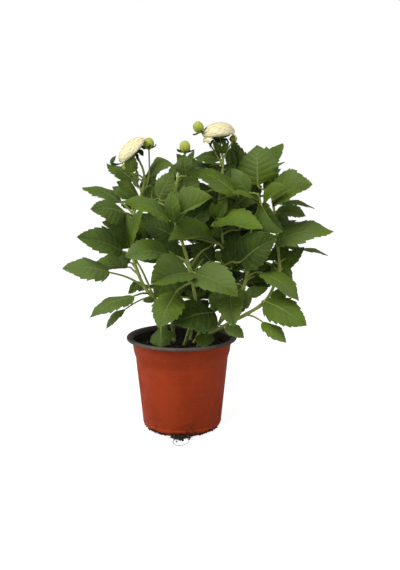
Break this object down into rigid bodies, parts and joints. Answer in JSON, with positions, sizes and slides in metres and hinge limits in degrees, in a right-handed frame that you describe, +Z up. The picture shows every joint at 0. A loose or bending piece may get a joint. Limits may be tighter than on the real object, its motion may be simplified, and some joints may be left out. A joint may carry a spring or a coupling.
{
  "type": "potted dahlia",
  "caption": "Bushy flowering dahlia with toothed leaves, cream flowers and round green buds, growing in soil in a tapered clay-coloured plastic nursery pot.",
  "frame": {"origin": "centre of the pot's base, on the surface that the pot stands on", "axes": "+Z up along the pot's axis to the flowers; +X to the right of the plant's front; -Y towards its front, where the fine root lies on the surface"},
  "size_m": [0.3023, 0.2207, 0.3575],
  "materials": {
    "pot_plastic": "matte moulded, clay orange outside, dark inside and at the rim",
    "soil": "damp dark potting mix of bark and peat with pale grit",
    "root": "fine dry root",
    "stem": "smooth green herbaceous stem",
    "leaf": "satin veined leaf, paler underneath",
    "petal": "soft cream petal, yellower at its foot",
    "calyx": "satin green bract",
    "bud": "satin yellow-green closed bud"
  },
  "bodies": {
    "root": {"back_left_leaf_1": "leaf", "back_left_leaf_2": "leaf", "back_left_leaf_3": "leaf", "back_left_leaf_4": "leaf", "back_left_leaf_5": "leaf", "back_left_stem": "stem", "back_right_leaf_1": "leaf", "back_right_leaf_2": "leaf", "back_right_leaf_3": "leaf", "back_right_leaf_4": "leaf", "back_right_stem": "stem", "centre_bud": "bud", "centre_leaf_1": "leaf", "centre_leaf_2": "leaf", "centre_leaf_3": "leaf", "centre_leaf_4": "leaf", "centre_leaf_5": "leaf", "centre_leaf_6": "leaf", "centre_leaf_7": "leaf", "centre_leaf_8": "leaf", "centre_stem": "stem", "drain_root": "root", "flower_leaf_1": "leaf", "flower_leaf_2": "leaf", "flower_leaf_3": "leaf", "flower_leaf_4": "leaf", "flower_leaf_5": "leaf", "flower_leaf_6": "leaf", "flower_stem": "stem", "left_bud": "bud", "left_flower": "petal", "left_flower_calyx": "calyx", "left_leaf_1": "leaf", "left_leaf_2": "leaf", "left_leaf_3": "leaf", "left_leaf_4": "leaf", "left_leaf_5": "leaf", "left_leaf_6": "leaf", "left_leaf_7": "leaf", "left_leaf_8": "leaf", "left_leaf_9": "leaf", "left_side_bud": "bud", "left_stem": "stem", "low_right_leaf_1": "leaf", "low_right_leaf_2": "leaf", "low_right_leaf_3": "leaf", "low_right_leaf_4": "leaf", "low_right_leaf_5": "leaf", "low_right_leaf_6": "leaf", "low_right_stem": "stem", "pot": "pot_plastic", "right_leaf_1": "leaf", "right_leaf_2": "leaf", "right_leaf_3": "leaf", "right_stem": "stem", "soil": "soil", "top_bud": "bud", "top_flower": "petal", "top_flower_calyx": "calyx", "top_side_bud": "bud"}
  },
  "joints": []
}
